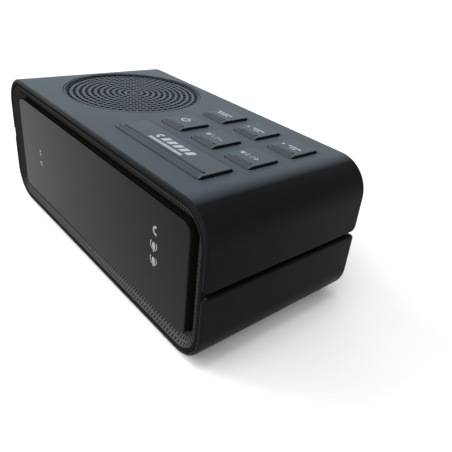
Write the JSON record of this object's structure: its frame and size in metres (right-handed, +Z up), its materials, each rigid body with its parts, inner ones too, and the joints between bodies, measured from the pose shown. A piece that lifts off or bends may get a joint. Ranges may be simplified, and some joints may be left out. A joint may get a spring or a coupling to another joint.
{
  "type": "table clock",
  "caption": "Talking table clock with a wide dark display window, a round pierced loudspeaker grille and keys in its top, and a sliding battery door underneath.",
  "frame": {"origin": "on the table, under the middle of the case", "axes": "+X along the width to the key side, -Y out of the display, +Z up"},
  "size_m": [0.13, 0.0628, 0.0519],
  "materials": {
    "case_plastic": "fine textured moulded plastic, anthracite",
    "bezel_plastic": "smooth moulded plastic, anthracite",
    "smoked_lens": "smoked acrylic, polished",
    "black_plastic": "black moulded plastic",
    "segment_diffuser": "translucent diffuser, unlit",
    "board_laminate": "green printed circuit laminate",
    "chip_epoxy": "black moulded epoxy",
    "cable_jacket": "flexible cable jacket",
    "screw_steel": "black zinc plated steel",
    "grille_plastic": "fine textured moulded plastic, anthracite",
    "foam_rubber": "closed-cell foam",
    "pressed_steel": "zinc plated pressed steel",
    "ferrite": "sintered ferrite",
    "coil_copper": "enamelled copper winding",
    "cone_paper": "pressed paper, black",
    "connector_plastic": "natural nylon",
    "capacitor_can": "sleeved aluminium can",
    "cell_jacket": "plain printed steel jacket",
    "contact_steel": "nickel plated spring steel",
    "foot_rubber": "soft rubber",
    "key_plastic": "fine textured moulded plastic, anthracite",
    "plunger_plastic": "black acetal"
  },
  "bodies": {
    "root": {"amplifier_chip": "chip_epoxy", "battery_cells": "cell_jacket", "battery_contacts": "contact_steel", "battery_tray": "black_plastic", "board_screws": "screw_steel", "capacitors": "capacitor_can", "case_screws": "screw_steel", "clock_chip": "chip_epoxy", "clock_crystal": "pressed_steel", "dc_jack": "black_plastic", "display_board": "board_laminate", "display_driver": "chip_epoxy", "display_mask": "black_plastic", "display_ribbon": "cable_jacket", "display_segments": "segment_diffuser", "display_window": "smoked_lens", "front_bezel": "bezel_plastic", "key_board": "board_laminate", "lower_cover": "case_plastic", "main_board": "board_laminate", "rear_panel": "case_plastic", "rear_screws": "screw_steel", "rubber_feet": "foot_rubber", "speaker_cone": "cone_paper", "speaker_dust_cap": "cone_paper", "speaker_frame": "pressed_steel", "speaker_gasket": "foam_rubber", "speaker_grille": "grille_plastic", "speaker_magnet": "ferrite", "speaker_plug": "connector_plastic", "speaker_screws": "screw_steel", "speaker_surround": "foam_rubber", "speaker_voice_coil": "coil_copper", "speaker_wires": "cable_jacket", "speaker_yoke": "pressed_steel", "tact_switches": "black_plastic", "upper_cover": "case_plastic", "voice_chip": "chip_epoxy"},
    "snooze_bar": {"snooze_bar": "key_plastic", "snooze_plunger": "plunger_plastic"},
    "power_key": {"power_key": "key_plastic", "power_plunger": "plunger_plastic"},
    "alarm_one_key": {"alarm_one_key": "key_plastic", "alarm_one_plunger": "plunger_plastic"},
    "alarm_two_key": {"alarm_two_key": "key_plastic", "alarm_two_plunger": "plunger_plastic"},
    "set_key": {"set_key": "key_plastic", "set_plunger": "plunger_plastic"},
    "hour_key": {"hour_key": "key_plastic", "hour_plunger": "plunger_plastic"},
    "minute_key": {"minute_key": "key_plastic", "minute_plunger": "plunger_plastic"},
    "battery_door": {"battery_door": "case_plastic"}
  },
  "joints": [
    {"name": "snooze_bar_press", "type": "slide", "parent": "root", "child": "snooze_bar", "axis": [0, 0, -1], "range_m": [0, 0.0005], "stiffness_N_per_m": 400},
    {"name": "power_key_press", "type": "slide", "parent": "root", "child": "power_key", "axis": [0, 0, -1], "range_m": [0, 0.0005], "stiffness_N_per_m": 400},
    {"name": "alarm_one_key_press", "type": "slide", "parent": "root", "child": "alarm_one_key", "axis": [0, 0, -1], "range_m": [0, 0.0005], "stiffness_N_per_m": 400},
    {"name": "alarm_two_key_press", "type": "slide", "parent": "root", "child": "alarm_two_key", "axis": [0, 0, -1], "range_m": [0, 0.0005], "stiffness_N_per_m": 400},
    {"name": "set_key_press", "type": "slide", "parent": "root", "child": "set_key", "axis": [0, 0, -1], "range_m": [0, 0.0005], "stiffness_N_per_m": 400},
    {"name": "hour_key_press", "type": "slide", "parent": "root", "child": "hour_key", "axis": [0, 0, -1], "range_m": [0, 0.0005], "stiffness_N_per_m": 400},
    {"name": "minute_key_press", "type": "slide", "parent": "root", "child": "minute_key", "axis": [0, 0, -1], "range_m": [0, 0.0005], "stiffness_N_per_m": 400},
    {"name": "battery_door_slide", "type": "slide", "parent": "root", "child": "battery_door", "axis": [0, 1, 0], "range_m": [0, 0.022]}
  ]
}
